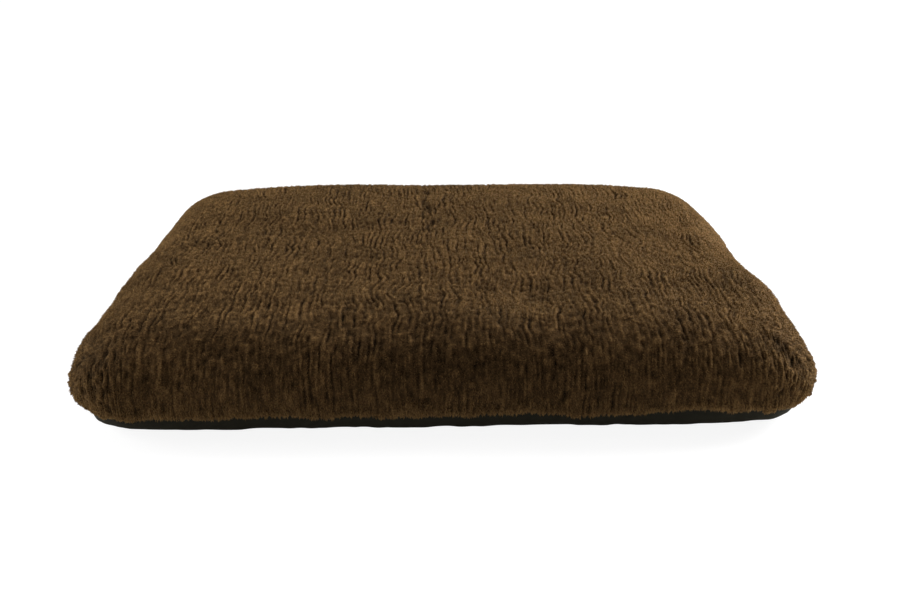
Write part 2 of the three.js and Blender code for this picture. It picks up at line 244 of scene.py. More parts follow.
def settled(points):
    """Draws the sides in a little between the corners, and lets the corners sit lower than the rest."""
    x = points[..., 0] / (core[0] + CORNER)
    y = points[..., 1] / (core[1] + CORNER)
    lower = points.copy()
    lower[..., 0] -= SIDE_PULL * np.sign(x) * np.abs(x) ** 6 * np.cos(y * math.pi / 2)
    lower[..., 1] -= SIDE_PULL * np.sign(y) * np.abs(y) ** 6 * np.cos(x * math.pi / 2)
    at_corner = ease(0.62, 1.0, np.abs(x)) * ease(0.50, 1.0, np.abs(y))
    lower[..., 2] -= CORNER_DROP * at_corner * ((points[..., 2] - WIDEST_HEIGHT) / 0.078).clip(0)
    return lower


def grid_quads(rows, columns, start=0):
    """Faces of a grid of points, as rows of four point numbers."""
    i, j = np.meshgrid(np.arange(rows - 1), np.arange(columns - 1), indexing="ij")
    first = (start + i * columns + j).ravel()
    return np.stack([first, first + columns, first + columns + 1, first + 1], axis=1)


def edge_loop(rows, columns, start=0):
    """Numbers of the points round the edge of a grid, from its first corner along its rows first."""
    top = (rows - 1) * columns
    one = np.arange(rows - 1) * columns
    two = top + np.arange(columns - 1)
    three = (rows - 1 - np.arange(rows - 1)) * columns + columns - 1
    four = columns - 1 - np.arange(columns - 1)
    return start + np.concatenate([one, two, three, four])


def new_piece(name, points, faces, material):
    """An object from an array of points and a list of arrays of faces."""
    mesh = bpy.data.meshes.new(name)
    points = np.ascontiguousarray(points, dtype=np.float32).reshape(-1, 3)
    corners = np.concatenate([group.ravel() for group in faces]).astype(np.int32)
    sizes = np.concatenate([np.full(len(group), group.shape[1]) for group in faces]).astype(np.int32)
    starts = np.concatenate([[0], np.cumsum(sizes)[:-1]]).astype(np.int32)
    mesh.vertices.add(len(points))
    mesh.vertices.foreach_set("co", points.ravel())
    mesh.loops.add(len(corners))
    mesh.loops.foreach_set("vertex_index", corners)
    mesh.polygons.add(len(starts))
    mesh.polygons.foreach_set("loop_start", starts)
    mesh.update(calc_edges=True)
    mesh.polygons.foreach_set("use_smooth", np.ones(len(starts), bool))
    mesh.materials.append(material)
    piece = bpy.data.objects.new(name, mesh)
    scene.collection.objects.link(piece)
    return piece


def closed_pad(name, top, base, material):
    """A closed piece from a top and a base panel of the same grid, which share their edges' points."""
    rows, columns = top.shape[:2]
    edge = edge_loop(rows, columns)
    within = np.ones(rows * columns, bool)
    within[edge] = False
    numbers = np.arange(rows * columns)
    numbers[within] = rows * columns + np.arange(within.sum())
    faces = grid_quads(rows, columns)
    points = np.concatenate([top.reshape(-1, 3), base.reshape(-1, 3)[within]])
    return new_piece(name, points, [faces, numbers[faces][:, ::-1]], material)


def soft_block(node, grid, floor_reach, floor_fullness, inset=0.0):
    """Top and base panels that fill a node's box, less an inset, meeting along the widest line."""
    low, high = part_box(node)
    reach = high[0] - core[0] - inset
    rise = quarter_round(reach, high[2] - CROWN - inset, WIDEST_HEIGHT, SHOULDER_FULLNESS)
    floor_outs, floor_heights = quarter_round(floor_reach, low[2] + inset, WIDEST_HEIGHT, floor_fullness)
    floor_outs = np.concatenate([[0], floor_outs + reach - floor_reach])
    fall = floor_outs, np.concatenate([floor_heights[:1], floor_heights])
    panels, flats = [], []
    for outs, heights in (rise, fall):
        bend, drop = along_bend(outs, heights)
        share_s = np.linspace(-1, 1, grid[0] + 1)
        share_t = np.linspace(-1, 1, grid[1] + 1)
        panels.append(laid_cloth(share_s * (core[0] + drop), share_t * (core[1] + drop), bend))
        flats.append((2 * (core[1] + drop), 2 * (core[0] + drop)))
    return settled(crowned(panels[0])), settled(panels[1]), flats


FILLING_GRID = (136, 104)
FILLING_FLOOR_REACH = 0.060
FILLING_FULLNESS = 2.8
FILLING_INSET = 0.001
LUMP_DEPTH = 0.0030

filling_top, filling_base, _ = soft_block(
    "fibre_fill", FILLING_GRID, FILLING_FLOOR_REACH, FILLING_FULLNESS, inset=FILLING_INSET
)
lump_step = 2 * core[0] / FILLING_GRID[0]
for panel, seed, inwards in ((filling_top, 61, -1), (filling_base, 62, 1)):
    lumps = soft_noise(panel.shape[:2], lump_step, (0.045, 0.045), seed)
    lumps += 0.4 * soft_noise(panel.shape[:2], lump_step, (0.014, 0.014), seed + 10)
    rim = np.ones(panel.shape[:2])
    rim.ravel()[edge_loop(*panel.shape[:2])] = 0
    panel += outward(panel) * (inwards * LUMP_DEPTH * (1 + np.tanh(lumps)) * rim)[..., None]

fibre_material, fibre_shader = plain_material("fibre", (0.80, 0.79, 0.76), 0.95)


def value_group(name, inputs, outputs):
    """An empty shader node group with named sockets. Returns it with its way in and its way out.

    An input's kind follows from its value: none for a place, four numbers for a colour, or one number.
    """
    group = bpy.data.node_groups.new(name, "ShaderNodeTree")
    for label, value in inputs.items():
        kind = "Vector" if value is None else "Color" if isinstance(value, tuple) else "Float"
        made = group.interface.new_socket(label, in_out="INPUT", socket_type="NodeSocket" + kind)
        if value is not None:
            made.default_value = value
    for label in outputs:
        kind = "Color" if label == "Colour" else "Float"
        group.interface.new_socket(label, in_out="OUTPUT", socket_type="NodeSocket" + kind)
    return group, group.nodes.new("NodeGroupInput"), group.nodes.new("NodeGroupOutput")


# Tangled fibre: fine bent threads over soft clouds.
fibre_group, way_in, way_out = value_group(
    "tangled_fibre", {"Place": None, "Size": 300.0, "Pale": (1, 1, 1, 1), "Dark": (0.5, 0.5, 0.5, 1)},
    ("Colour", "Height"),
)
threads = add_node(
    fibre_group, "ShaderNodeTexNoise", noise_type="RIDGED_MULTIFRACTAL", Detail=4, Distortion=1.2
)
clouds = add_node(fibre_group, "ShaderNodeTexNoise", Scale=30, Detail=3)
both = add_node(fibre_group, "ShaderNodeMath", operation="MULTIPLY_ADD", use_clamp=True)
both.inputs[1].default_value = 0.45
tint = add_node(fibre_group, "ShaderNodeMix", data_type="RGBA")
join(fibre_group, way_in, "Place", threads, "Vector", way_in, "Size", threads, "Scale",
     way_in, "Place", clouds, "Vector", threads, "Fac", both, 0, clouds, "Fac", both, 2,
     both, "Value", tint, "Factor", way_in, "Dark", tint, 6, way_in, "Pale", tint, 7,
     tint, 2, way_out, "Colour", threads, "Fac", way_out, "Height")


def use_group(tree, group, **values):
    """A group placed in a material, with its values set."""
    node = tree.nodes.new("ShaderNodeGroup")
    node.node_tree = group
    for key, value in values.items():
        node.inputs[key].default_value = value
    return node


tree = fibre_material.node_tree
place = add_node(tree, "ShaderNodeTexCoord")
fibres = use_group(tree, fibre_group, Size=420.0, Pale=(0.86, 0.85, 0.82, 1), Dark=(0.55, 0.53, 0.49, 1))
bump = add_node(tree, "ShaderNodeBump", Strength=0.6, Distance=0.0015)
join(tree, place, "Object", fibres, "Place", fibres, "Colour", fibre_shader, "Base Color",
     fibres, "Height", bump, "Height", bump, "Normal", fibre_shader, "Normal")
fibre_shader.inputs["Sheen Weight"].default_value = 0.3

filling = closed_pad("filling", filling_top, filling_base, fibre_material)
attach(filling, "cushion")
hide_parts("fibre_fill")

# ---------------- inner case
# Unbleached cotton ticking, a top and a base panel sewn together round the widest line and filled through a
# gap in that seam. The filling blows both panels up, and the seam holds them in.

CASE_GRID = (150, 114)
CASE_INSET = 0.010
CASE_VOXEL = 0.0074
CASE_PRESSURE = 4
CASE_STEPS = 20
CASE_MOST_SWELL = 0.022
CASE_SEAM_BAND = 0.006
CASE_THICK = 0.0008
CASE_THREADS = 1400.0
CASE_ROUND_REACH = 0.061
CASE_FULLNESS = 2.8

case_top, case_base, case_flats = soft_block(
    "inner_case_top", CASE_GRID, CASE_ROUND_REACH, CASE_FULLNESS, inset=CASE_INSET
)
case_low, case_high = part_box("inner_case_base")[0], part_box("inner_case_top")[1]
case_reach = case_high[0] - core[0]
case_base[..., 2] = np.maximum(case_base[..., 2] - (case_base[..., 2].min() - case_low[2]) + CASE_INSET / 2,
                               case_low[2] + CASE_INSET / 2).clip(None, WIDEST_HEIGHT)
ticking_material, ticking_shader = plain_material("ticking", (0.60, 0.57, 0.50), 0.9)
blown = closed_pad("case_blown", case_top, case_base, ticking_material)


def only(piece):
    """Makes one piece the active and only chosen one."""
    bpy.ops.object.select_all(action="DESELECT")
    piece.select_set(True)
    bpy.context.view_layer.objects.active = piece


def apply_modifiers(piece):
    """Applies every modifier of a piece, in order."""
    only(piece)
    for modifier in list(piece.modifiers):
        bpy.ops.object.modifier_apply(modifier=modifier.name)


def thicken(piece, thickness, offset=-1):
    """Gives a sheet its thickness, inwards unless the offset is 0, which puts half on each side."""
    thick = piece.modifiers.new("thick", "SOLIDIFY")
    thick.thickness = thickness
    thick.offset = offset
    apply_modifiers(piece)


def points_of(piece):
    """A piece's points, as an array."""
    flat = np.empty(len(piece.data.vertices) * 3, np.float32)
    piece.data.vertices.foreach_get("co", flat)
    return flat.reshape(-1, 3).astype(float)


def set_points(piece, points):
    """Moves a piece's points to those of an array."""
    piece.data.vertices.foreach_set("co", np.ascontiguousarray(points, dtype=np.float32).ravel())
    piece.data.update()


remesh = blown.modifiers.new("remesh", "REMESH")
remesh.mode = "VOXEL"
remesh.voxel_size = CASE_VOXEL
remesh.use_smooth_shade = True
apply_modifiers(blown)
before = points_of(blown)
seam = blown.vertex_groups.new(name="seam")
seam.add(np.nonzero(np.abs(before[:, 2] - WIDEST_HEIGHT) < CASE_SEAM_BAND)[0].tolist(), 1.0, "REPLACE")
cloth = blown.modifiers.new("cloth", "CLOTH")
cloth.settings.use_pressure = True
cloth.settings.uniform_pressure_force = CASE_PRESSURE
cloth.settings.vertex_group_mass = "seam"
cloth.settings.effector_weights.gravity = 0
cloth.settings.quality = 4
cloth.point_cache.frame_end = CASE_STEPS
for step in range(1, CASE_STEPS + 1):
    scene.frame_set(step)
apply_modifiers(blown)
scene.frame_set(1)
after = points_of(blown)
moved = after - before
far = np.linalg.norm(moved, axis=1, keepdims=True)
after = before + moved * np.minimum(1, CASE_MOST_SWELL / np.maximum(far, 1e-9))

# The cover stops the case wherever it would swell past its own room.
out_x = np.abs(after[:, 0]) - core[0]
out_y = np.abs(after[:, 1]) - core[1]
out = np.hypot(out_x.clip(0), out_y.clip(0))
room_outs, room_tops = quarter_round(case_reach, case_high[2] - CROWN, WIDEST_HEIGHT, SHOULDER_FULLNESS)
ceiling = np.interp(out, room_outs, room_tops) + CROWN * dome(after)
after[:, 2] = np.clip(after[:, 2], case_low[2], ceiling)
shrink = np.minimum(1, (case_reach - 0.001) / np.maximum(out, 1e-9))
after[:, 0] -= np.sign(after[:, 0]) * (out_x.clip(0) * (1 - shrink))
after[:, 1] -= np.sign(after[:, 1]) * (out_y.clip(0) * (1 - shrink))
set_points(blown, after)

# Ticking weave: fine plain weave with the odd slub, for every woven piece here.
weave_group, way_in, way_out = value_group(
    "plain_weave",
    {"Place": None, "Threads per metre": 1500.0, "Pale": (1, 1, 1, 1), "Dark": (0.5, 0.5, 0.5, 1),
     "Slub": 0.5},
    ("Colour", "Height", "Roughness"),
)
apart = add_node(weave_group, "ShaderNodeSeparateXYZ")
join(weave_group, way_in, "Place", apart, 0)
waves_of = []
for axis in ("X", "Y", "Z"):
    scaled = add_node(weave_group, "ShaderNodeMath", operation="MULTIPLY")
    turned = add_node(weave_group, "ShaderNodeMath", operation="MULTIPLY")
    turned.inputs[1].default_value = math.pi
    wave = add_node(weave_group, "ShaderNodeMath", operation="SINE")
    join(weave_group, apart, axis, scaled, 0, way_in, "Threads per metre", scaled, 1, scaled, 0, turned, 0,
         turned, 0, wave, 0)
    waves_of.append(wave)
cross_one = add_node(weave_group, "ShaderNodeMath", operation="MULTIPLY")
cross_two = add_node(weave_group, "ShaderNodeMath", operation="MULTIPLY")
threads = add_node(weave_group, "ShaderNodeMath", operation="ADD")
level = add_node(weave_group, "ShaderNodeMapRange", From_Min=-1, From_Max=1)
slubs = add_node(weave_group, "ShaderNodeTexNoise", Scale=60, Detail=4)
mottle = add_node(weave_group, "ShaderNodeMath", operation="MULTIPLY_ADD", use_clamp=True)
tint = add_node(weave_group, "ShaderNodeMix", data_type="RGBA")
dull = add_node(weave_group, "ShaderNodeMapRange", To_Min=0.95, To_Max=0.70)
join(weave_group, waves_of[0], 0, cross_one, 0, waves_of[1], 0, cross_one, 1, waves_of[0], 0, cross_two, 0,
     waves_of[2], 0, cross_two, 1, cross_one, 0, threads, 0, cross_two, 0, threads, 1,
     threads, 0, level, "Value", way_in, "Place", slubs, "Vector", slubs, "Fac", mottle, 0,
     way_in, "Slub", mottle, 1, level, "Result", mottle, 2, mottle, 0, tint, "Factor",
     way_in, "Dark", tint, 6, way_in, "Pale", tint, 7, mottle, 0, dull, "Value", tint, 2, way_out, "Colour",
     level, "Result", way_out, "Height", dull, "Result", way_out, "Roughness")


def woven_finish(material, shader, threads, pale, dark, slub, depth, sheen, laid=None):
    """Gives a material the plain weave, at so many threads a metre.

    Where the cloth's own flat places are kept in a map, laid is the map's name and the threads follow the
    cloth round its bends.
    """
    tree = material.node_tree
    place = add_node(tree, "ShaderNodeUVMap" if laid else "ShaderNodeTexCoord")
    if laid:
        place.uv_map = laid
    weave = use_group(tree, weave_group, Pale=(*pale, 1), Dark=(*dark, 1), Slub=slub)
    weave.inputs["Threads per metre"].default_value = threads
    bump = add_node(tree, "ShaderNodeBump", Strength=0.5, Distance=depth)
    join(tree, place, "UV" if laid else "Object", weave, "Place", weave, "Colour", shader, "Base Color",
         weave, "Height", bump, "Height", bump, "Normal", shader, "Normal",
         weave, "Roughness", shader, "Roughness")
    shader.inputs["Sheen Weight"].default_value = sheen
    shader.inputs["Sheen Tint"].default_value = (*pale, 1)
    shader.inputs["Specular IOR Level"].default_value = 0.15


woven_finish(
    ticking_material, ticking_shader, CASE_THREADS, pale=(0.66, 0.63, 0.56), dark=(0.48, 0.45, 0.38),
    slub=0.5, depth=0.0003, sheen=0.15,
)

for name, node, keep_top, flat in (
    ("case_top", "inner_case_top", True, case_flats[0]),
    ("case_base", "inner_case_base", False, case_flats[1]),
):
    panel = blown.copy()
    panel.data = blown.data.copy()
    panel.name = name
    scene.collection.objects.link(panel)
    only(panel)
    bpy.ops.object.mode_set(mode="EDIT")
    bpy.ops.mesh.select_all(action="SELECT")
    bpy.ops.mesh.bisect(
        plane_co=(0, 0, WIDEST_HEIGHT), plane_no=(0, 0, 1), clear_inner=keep_top, clear_outer=not keep_top
    )
    bpy.ops.object.mode_set(mode="OBJECT")
    thicken(panel, CASE_THICK)
    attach(panel, "cushion")
    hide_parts(node)
bpy.data.objects.remove(blown)

# ---------------- base panel
# Dark olive-black woven polyester, one piece for the floor and the low sides. Its upper edge is turned up
# inside the fleece and sewn to it, which draws the front corners up a little. At the back a window is left
# for the zip.

BASE_THICK = 0.0012
BASE_ROUND_REACH = 0.056
BASE_ROUND_RISE = 0.014
BASE_FULLNESS = 1.7
BASE_LINES = (220, 172)
WINDOW_HALF = 0.320
WINDOW_SILL = 0.02205
TURN_IN = 0.0035
WRINKLE = 0.0010
FLOOR_WAVE = 0.0005
CORNER_LIFT = 0.0028
BASE_THREADS = 900.0

base_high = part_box("base_panel")[1]
round_outs, round_heights = quarter_round(BASE_ROUND_REACH, 0.0, BASE_ROUND_RISE, BASE_FULLNESS)
wall_heights = np.linspace(BASE_ROUND_RISE, base_high[2], 30)[1:]
wall_out = base_high[0] - core[0]
base_outs = np.concatenate([[0], round_outs + wall_out - BASE_ROUND_REACH, np.full(29, wall_out)])
base_heights = np.concatenate([[0], round_heights, wall_heights])
base_bend, base_drop = along_bend(base_outs, base_heights)
sill_drop = base_drop - (base_high[2] - WINDOW_SILL)


def lines_through(reach, count, stops):
    """Evenly spaced cloth lines from -reach to reach, with one moved a little to lie on each stop."""
    lines = np.linspace(-reach, reach, count + 1)
    for stop in stops:
        lines[np.argmin(np.abs(lines - stop))] = stop
    return lines


base_across = lines_through(core[0] + base_drop, BASE_LINES[0], (-WINDOW_HALF, WINDOW_HALF))
base_along = lines_through(core[1] + base_drop, BASE_LINES[1], (core[1] + sill_drop,))
base_shape = (len(base_across), len(base_along))
base_step = base_across[1] - base_across[0]
base_skin = laid_cloth(base_across, base_along, base_bend)
base_s, base_t = np.meshgrid(base_across, base_along, indexing="ij")
base_past = np.maximum(np.abs(base_s) - core[0], np.abs(base_t) - core[1])
at_zip = ease(WINDOW_HALF + 0.05, WINDOW_HALF + 0.01, np.abs(base_s)) * ease(0.30, 0.33, base_t)
base_out = -outward(base_skin)
rumple = soft_noise(base_shape, base_step, (0.05, 0.028), 71)
rumple += 0.5 * soft_noise(base_shape, base_step, (0.017, 0.022), 72)
slack = ease(-0.01, 0.05, base_past) * ease(base_drop - 0.004, base_drop - 0.020, base_past)
base_skin += base_out * (WRINKLE * slack * (1 - at_zip) * (np.tanh(rumple) - 0.6))[..., None]
floor_waves = 1 + np.tanh(soft_noise(base_shape, base_step, (0.06, 0.06), 73))
base_skin[..., 2] += FLOOR_WAVE * floor_waves * ease(0.05, 0.0, base_past)
base_skin[..., 2] = base_skin[..., 2].clip(0)
near_end = ease(-0.09, 0.03, np.abs(base_s) - core[0]) * ease(-0.03, 0.03, -base_t - core[1])
near_end *= ease(0.028, 0.060, base_past) * ease(0.030, 0.012, base_skin[..., 2])
base_skin[..., 2] += CORNER_LIFT * near_end
turned = TURN_IN * ease(0.020, 0.036, base_skin[..., 2]) * (1 - at_zip)
core_place = np.stack([base_s.clip(-core[0], core[0]), base_t.clip(-core[1], core[1])], axis=-1)
base_skin[..., :2] += unit(core_place - base_skin[..., :2]) * turned[..., None]

base_faces = grid_quads(*base_shape)[:, ::-1]
middle_s = base_s.ravel()[base_faces].mean(axis=1)
middle_t = base_t.ravel()[base_faces].mean(axis=1)
in_window = (np.abs(middle_s) < WINDOW_HALF) & (middle_t > core[1] + sill_drop)
base_faces = base_faces[~in_window]
used = np.zeros(base_s.size, bool)
used[base_faces.ravel()] = True
numbers = np.cumsum(used) - 1
base_material, base_shader = plain_material("base_fabric", (0.014, 0.015, 0.010), 0.85)
woven_finish(
    base_material, base_shader, BASE_THREADS, pale=(0.034, 0.031, 0.020), dark=(0.0135, 0.012, 0.0075),
    slub=0.6, depth=0.0004, sheen=0.12, laid="cloth",
)
base_panel = new_piece("base_cloth", base_skin.reshape(-1, 3)[used], [numbers[base_faces]], base_material)
flat_map = base_panel.data.uv_layers.new(name="cloth")
flat_map.data.foreach_set(
    "uv", np.stack([base_s, base_t], axis=-1).reshape(-1, 2)[base_faces].astype(np.float32).ravel()
)
thicken(base_panel, BASE_THICK)
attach(base_panel, "cushion")
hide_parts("base_panel")

# ---------------- zip tapes
# Two narrow woven tapes, one sewn to the fleece and one inside the base wall below the window. Their weave
# shows as fine ribs along the zip.

TAPE_THREADS = 1900.0
TAPE_PIECES = 64
TAPE_RIPPLE = 0.0003
TAPE_WAVE = 0.083
TAPE_ROUNDING = 0.00012

tape_material, tape_shader = plain_material("zip_tape", (0.012, 0.012, 0.010), 0.8)
woven_finish(
    tape_material, tape_shader, TAPE_THREADS, pale=(0.022, 0.022, 0.019), dark=(0.009, 0.009, 0.008),
    slub=0.4, depth=0.0002, sheen=0.2,
)


def mend_copy(node, name, material):
    """A copy of a CAD node as a new piece, with its triangles merged and its flat faces made whole."""
    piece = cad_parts[node].copy()
    piece.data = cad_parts[node].data.copy()
    piece.name = name
    piece.parent = None
    for key in list(piece.keys()):
        del piece[key]
    scene.collection.objects.link(piece)
    only(piece)
    bpy.ops.object.mode_set(mode="EDIT")
    bpy.ops.mesh.select_all(action="SELECT")
    bpy.ops.mesh.remove_doubles(threshold=0.00001)
    bpy.ops.mesh.dissolve_limited(angle_limit=math.radians(3))
    bpy.ops.object.mode_set(mode="OBJECT")
    piece.data.materials.clear()
    piece.data.materials.append(material)
    return piece


def ease_edges(piece, width, segments=2, worn=None):
    """Rounds a piece's sharp edges. Where worn is a material, the rounded faces take it."""
    if worn:
        piece.data.materials.append(worn)
    rounding = piece.modifiers.new("rounding", "BEVEL")
    rounding.width = width
    rounding.segments = segments
    rounding.limit_method = "ANGLE"
    rounding.angle_limit = math.radians(35)
    rounding.material = 1 if worn else -1
    apply_modifiers(piece)
    bpy.ops.object.shade_smooth_by_angle(angle=math.radians(40))


for name, node, side in (("tape_upper", "zip_tape_upper", 1), ("tape_lower", "zip_tape_lower", -1)):
    tape = mend_copy(node, name, tape_material)
    low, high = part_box(node)
    bpy.ops.object.mode_set(mode="EDIT")
    bpy.ops.mesh.select_all(action="SELECT")
    for cut in np.linspace(low[0], high[0], TAPE_PIECES + 1)[1:-1]:
        bpy.ops.mesh.select_all(action="SELECT")
        bpy.ops.mesh.bisect(plane_co=(cut, 0, 0), plane_no=(1, 0, 0))
    for share in (0.25, 0.5, 0.75):
        bpy.ops.mesh.select_all(action="SELECT")
        bpy.ops.mesh.bisect(plane_co=(0, 0, low[2] + share * (high[2] - low[2])), plane_no=(0, 0, 1))
    bpy.ops.object.mode_set(mode="OBJECT")
    points = points_of(tape)
    sewn = np.abs(points[:, 2] - (low[2] if side > 0 else high[2])) / (high[2] - low[2])
    points[:, 1] -= TAPE_RIPPLE * sewn * (1 + np.sin(points[:, 0] * 2 * math.pi / TAPE_WAVE + side))
    set_points(tape, points)
    ease_edges(tape, TAPE_ROUNDING)
    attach(tape, "cushion")
    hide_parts(node)

# ---------------- zip coils
# Two rows of nylon monofilament wound into flat coils and stitched to the tapes, with a sewing cord through
# them.

COIL_PITCH = 0.0014
WIRE_RADIUS = 0.00032
STEPS_IN_TURN = 12
WIRE_SIDES = 5
COIL_REACHES = 0.00022

coil_material, coil_shader = plain_material("zip_coil", (0.010, 0.010, 0.009), 0.38)
tree = coil_material.node_tree
place = add_node(tree, "ShaderNodeTexCoord")
rubbed = add_node(tree, "ShaderNodeTexNoise", Scale=900, Detail=2)
rub_colour = add_node(tree, "ShaderNodeValToRGB")
rub_colour.color_ramp.elements[0].color = (0.008, 0.008, 0.0075, 1)
rub_colour.color_ramp.elements[1].color = (0.024, 0.024, 0.022, 1)
rub_rough = add_node(tree, "ShaderNodeMapRange", To_Min=0.28, To_Max=0.55)
join(tree, place, "Object", rubbed, "Vector", rubbed, "Fac", rub_colour, "Fac",
     rub_colour, "Color", coil_shader, "Base Color", rubbed, "Fac", rub_rough, "Value",
     rub_rough, "Result", coil_shader, "Roughness")


def tube_sides(rings, sides):
    """Numbers of a tube's points, ring by ring but the last, and of the next point round each ring."""
    i, j = np.meshgrid(np.arange(rings - 1), np.arange(sides), indexing="ij")
    return i * sides + j, i * sides + (j + 1) % sides


for name, node, side in (("coil_upper", "zip_coil_upper", 1), ("coil_lower", "zip_coil_lower", -1)):
    low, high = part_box(node)
    turns_count = int((high[0] - low[0]) / COIL_PITCH)
    turn = np.arange(turns_count * STEPS_IN_TURN + 1) * 2 * math.pi / STEPS_IN_TURN
    half_deep = (high[1] - low[1]) / 2 - WIRE_RADIUS
    half_wide = (high[2] - low[2] + COIL_REACHES) / 2 - WIRE_RADIUS
    middle_z = (low[2] + high[2] - side * COIL_REACHES) / 2
    start = low[0] + WIRE_RADIUS + (0 if side > 0 else COIL_PITCH / 4)
    wire = np.stack([
        start + turn * COIL_PITCH / (2 * math.pi) * (1 - 2 * WIRE_RADIUS / (high[0] - low[0])),
        (low[1] + high[1]) / 2 + half_deep * np.sin(turn),
        middle_z + side * half_wide * np.cos(turn),
    ], axis=1)
    heading = unit(np.gradient(wire, axis=0))
    out_of_turn = np.stack([np.zeros(len(turn)), np.sin(turn), side * np.cos(turn)], axis=1)
    third = unit(np.cross(heading, out_of_turn))
    second = np.cross(third, heading)
    round_wire = np.arange(WIRE_SIDES) * 2 * math.pi / WIRE_SIDES
    across = second[:, None] * np.cos(round_wire)[None, :, None]
    across = across + third[:, None] * np.sin(round_wire)[None, :, None]
    rings = wire[:, None] + WIRE_RADIUS * across
    here, beside = tube_sides(len(turn), WIRE_SIDES)
    sides = np.stack([here, beside, beside + WIRE_SIDES, here + WIRE_SIDES], axis=-1).reshape(-1, 4)
    start_cap = np.arange(WIRE_SIDES)[None, ::-1]
    end_cap = (len(turn) - 1) * WIRE_SIDES + np.arange(WIRE_SIDES)[None]
    if np.dot(np.cross(rings[0, 1] - rings[0, 0], rings[1, 0] - rings[0, 0]), rings[0, 0] - wire[0]) < 0:
        sides, start_cap, end_cap = sides[:, ::-1], start_cap[:, ::-1], end_cap[:, ::-1]
    coil = new_piece(name, rings, [sides, start_cap, end_cap], coil_material)
    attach(coil, "cushion")
    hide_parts(node)

# ---------------- zip stops and end tabs
# Pressed gunmetal clips close the chain at both ends. A small folded patch of base fabric covers each end of
# the window, stitched down over the tapes.

STOP_ROUNDING = 0.00025
TAB_ROUNDING = 0.00035

metal_material, metal_shader = plain_material("gunmetal", (0.05, 0.05, 0.048), 0.35)
worn_material, worn_shader = plain_material("gunmetal_worn", (0.24, 0.23, 0.21), 0.28)
worn_group, way_in, way_out = value_group(
    "rubbed_metal", {"Place": None, "Pale": (1, 1, 1, 1), "Dark": (0.5, 0.5, 0.5, 1), "Rub": 0.5},
    ("Colour", "Roughness", "Height"),
)
scuffs = add_node(worn_group, "ShaderNodeTexNoise", Scale=1500, Detail=4)
patches = add_node(worn_group, "ShaderNodeTexNoise", Scale=260, Detail=2)
both = add_node(worn_group, "ShaderNodeMath", operation="MULTIPLY")
near = add_node(worn_group, "ShaderNodeMath", operation="MULTIPLY_ADD", use_clamp=True)
near.inputs[1].default_value = 2.4
tint = add_node(worn_group, "ShaderNodeMix", data_type="RGBA")
shine = add_node(worn_group, "ShaderNodeMapRange", To_Min=0.48, To_Max=0.24)
join(worn_group, way_in, "Place", scuffs, "Vector", way_in, "Place", patches, "Vector",
     scuffs, "Fac", both, 0, patches, "Fac", both, 1, both, 0, near, 0, way_in, "Rub", near, 2,
     near, 0, tint, "Factor", way_in, "Dark", tint, 6, way_in, "Pale", tint, 7, near, 0, shine, "Value",
     tint, 2, way_out, "Colour", shine, "Result", way_out, "Roughness", scuffs, "Fac", way_out, "Height")
for material, shader, pale, dark, rub in (
    (metal_material, metal_shader, (0.14, 0.135, 0.125), (0.045, 0.045, 0.043), -0.45),
    (worn_material, worn_shader, (0.42, 0.40, 0.36), (0.16, 0.155, 0.145), -0.2),
):
    tree = material.node_tree
    place = add_node(tree, "ShaderNodeTexCoord")
    rubbed = use_group(tree, worn_group, Pale=(*pale, 1), Dark=(*dark, 1), Rub=rub)
    bump = add_node(tree, "ShaderNodeBump", Strength=0.25, Distance=0.00005)
    join(tree, place, "Object", rubbed, "Place", rubbed, "Colour", shader, "Base Color",
         rubbed, "Roughness", shader, "Roughness", rubbed, "Height", bump, "Height",
         bump, "Normal", shader, "Normal")
    shader.inputs["Metallic"].default_value = 0.9

for name, node in (
    ("stop_bottom", "zip_bottom_stop"), ("stop_top_upper", "zip_top_stop_upper"),
    ("stop_top_lower", "zip_top_stop_lower"),
):
    stop = mend_copy(node, name, metal_material)
    ease_edges(stop, STOP_ROUNDING, segments=3, worn=worn_material)
    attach(stop, "cushion")
    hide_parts(node)

for name, node in (("end_tab_left", "zip_end_tab_left"), ("end_tab_right", "zip_end_tab_right")):
    tab = mend_copy(node, name, base_material)
    ease_edges(tab, TAB_ROUNDING, segments=3)
    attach(tab, "cushion")
    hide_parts(node)

# ---------------- zip slider and pull
# Die-cast slider with its bridge, plated gunmetal and rubbed bright on its edges. The pull hangs in the
# bridge by a bar across its open end, and has a thumb hollow and a hole.

SLIDER_ROUNDING = 0.00028
PULL_ROUNDING = 0.00030

for name, node, body, width in (
    ("slider_body", "zip_slider_body", "zip_slider", SLIDER_ROUNDING),
    ("slider_bridge", "zip_slider_bridge", "zip_slider", SLIDER_ROUNDING),
    ("pull", "zip_pull", "zip_pull", PULL_ROUNDING),
):
    part = mend_copy(node, name, metal_material)
    ease_edges(part, width, segments=3, worn=worn_material)
    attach(part, body)
    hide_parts(node)

# ---------------- topstitching
# Lockstitch in dark thread: one line below the zip window through the wall and the tape, one up each side of
# the window, and a box of stitches on each end tab.

STITCH_LENGTH = 0.0024
STITCH_PITCH = 0.0031
THREAD_RADIUS = 0.00028
STITCH_MARGIN = 0.0022
STITCH_TOP = 0.036  # height where the lines beside the window go up under the fleece
TAB_MARGIN = 0.0014
THREAD_RINGS = 5
THREAD_SIDES = 5

